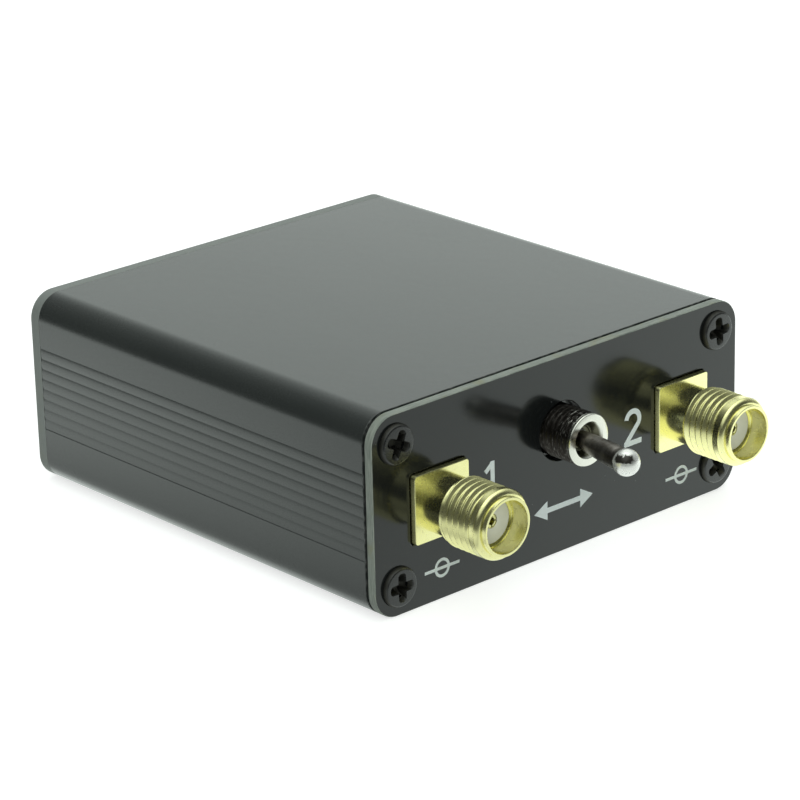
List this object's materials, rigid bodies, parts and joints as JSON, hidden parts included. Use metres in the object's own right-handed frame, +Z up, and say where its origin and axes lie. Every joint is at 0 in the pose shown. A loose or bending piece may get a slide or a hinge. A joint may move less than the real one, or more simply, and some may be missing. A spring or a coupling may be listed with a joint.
{
  "type": "coaxial antenna switch",
  "caption": "Small flat metal case with threaded coaxial jacks and a toggle lever on the front panel and a common jack on the rear; the lever joins the common jack to one side or the other.",
  "frame": {"origin": "centre of the case's bottom face", "axes": "+Z up, -Y out of the front panel that carries the toggle, +X towards port 2, on the right of the front"},
  "size_m": [0.045, 0.0665, 0.0185],
  "materials": {
    "black_anodised": "satin black anodising over fine extrusion lines",
    "black_mask": "glossy black coating on a glass-fibre laminate, pale at the cut edge",
    "black_screw": "black zinc plating",
    "board_laminate": "green coating on a glass-fibre laminate",
    "copper": "thin copper foil",
    "solder": "bright tin solder",
    "gold_plate": "pale gold plating, polished by turning",
    "insulator": "off-white waxy plastic",
    "nickel_plate": "bright nickel plating",
    "tinned_steel": "tin-plated steel sheet",
    "black_plastic": "moulded black plastic",
    "spring_steel": "plain spring wire"
  },
  "bodies": {
    "case": {"case_extrusion": "black_anodised", "front_panel": "black_mask", "rear_panel": "black_mask", "panel_screws": "black_screw", "circuit_board": "board_laminate", "track_common": "copper", "track_1": "copper", "track_2": "copper", "solder_joints": "solder", "port_1_jack": "gold_plate", "port_1_insulator": "insulator", "port_1_socket": "gold_plate", "port_2_jack": "gold_plate", "port_2_insulator": "insulator", "port_2_socket": "gold_plate", "port_common_jack": "gold_plate", "port_common_insulator": "insulator", "port_common_socket": "gold_plate", "switch_bushing": "nickel_plate", "switch_bracket": "tinned_steel", "switch_housing": "black_plastic", "terminal_common": "nickel_plate", "terminal_1": "nickel_plate", "terminal_2": "nickel_plate"},
    "lever": {"toggle_lever": "nickel_plate", "lever_spring": "spring_steel"},
    "plunger": {"lever_plunger": "nickel_plate"},
    "rocker": {"contact_rocker": "nickel_plate"}
  },
  "joints": [
    {"name": "lever_throw", "type": "hinge", "parent": "case", "child": "lever", "pos_m": [0, -0.02505, 0.01149], "axis": [0, 0, 1], "range_deg": [0, 21]},
    {"name": "plunger_slide", "type": "slide", "parent": "lever", "child": "plunger", "axis": [-0.1822, -0.9833, 0], "range_m": [0, 0.00015], "stiffness_N_per_m": 50},
    {"name": "rocker_tilt", "type": "hinge", "parent": "case", "child": "rocker", "pos_m": [0, -0.01775, 0.01149], "axis": [0, 0, 1], "range_deg": [-13.44, 0]}
  ],
  "couplings": [
    {"joint": "rocker_tilt", "follows": "lever_throw", "ratio": -0.64}
  ]
}
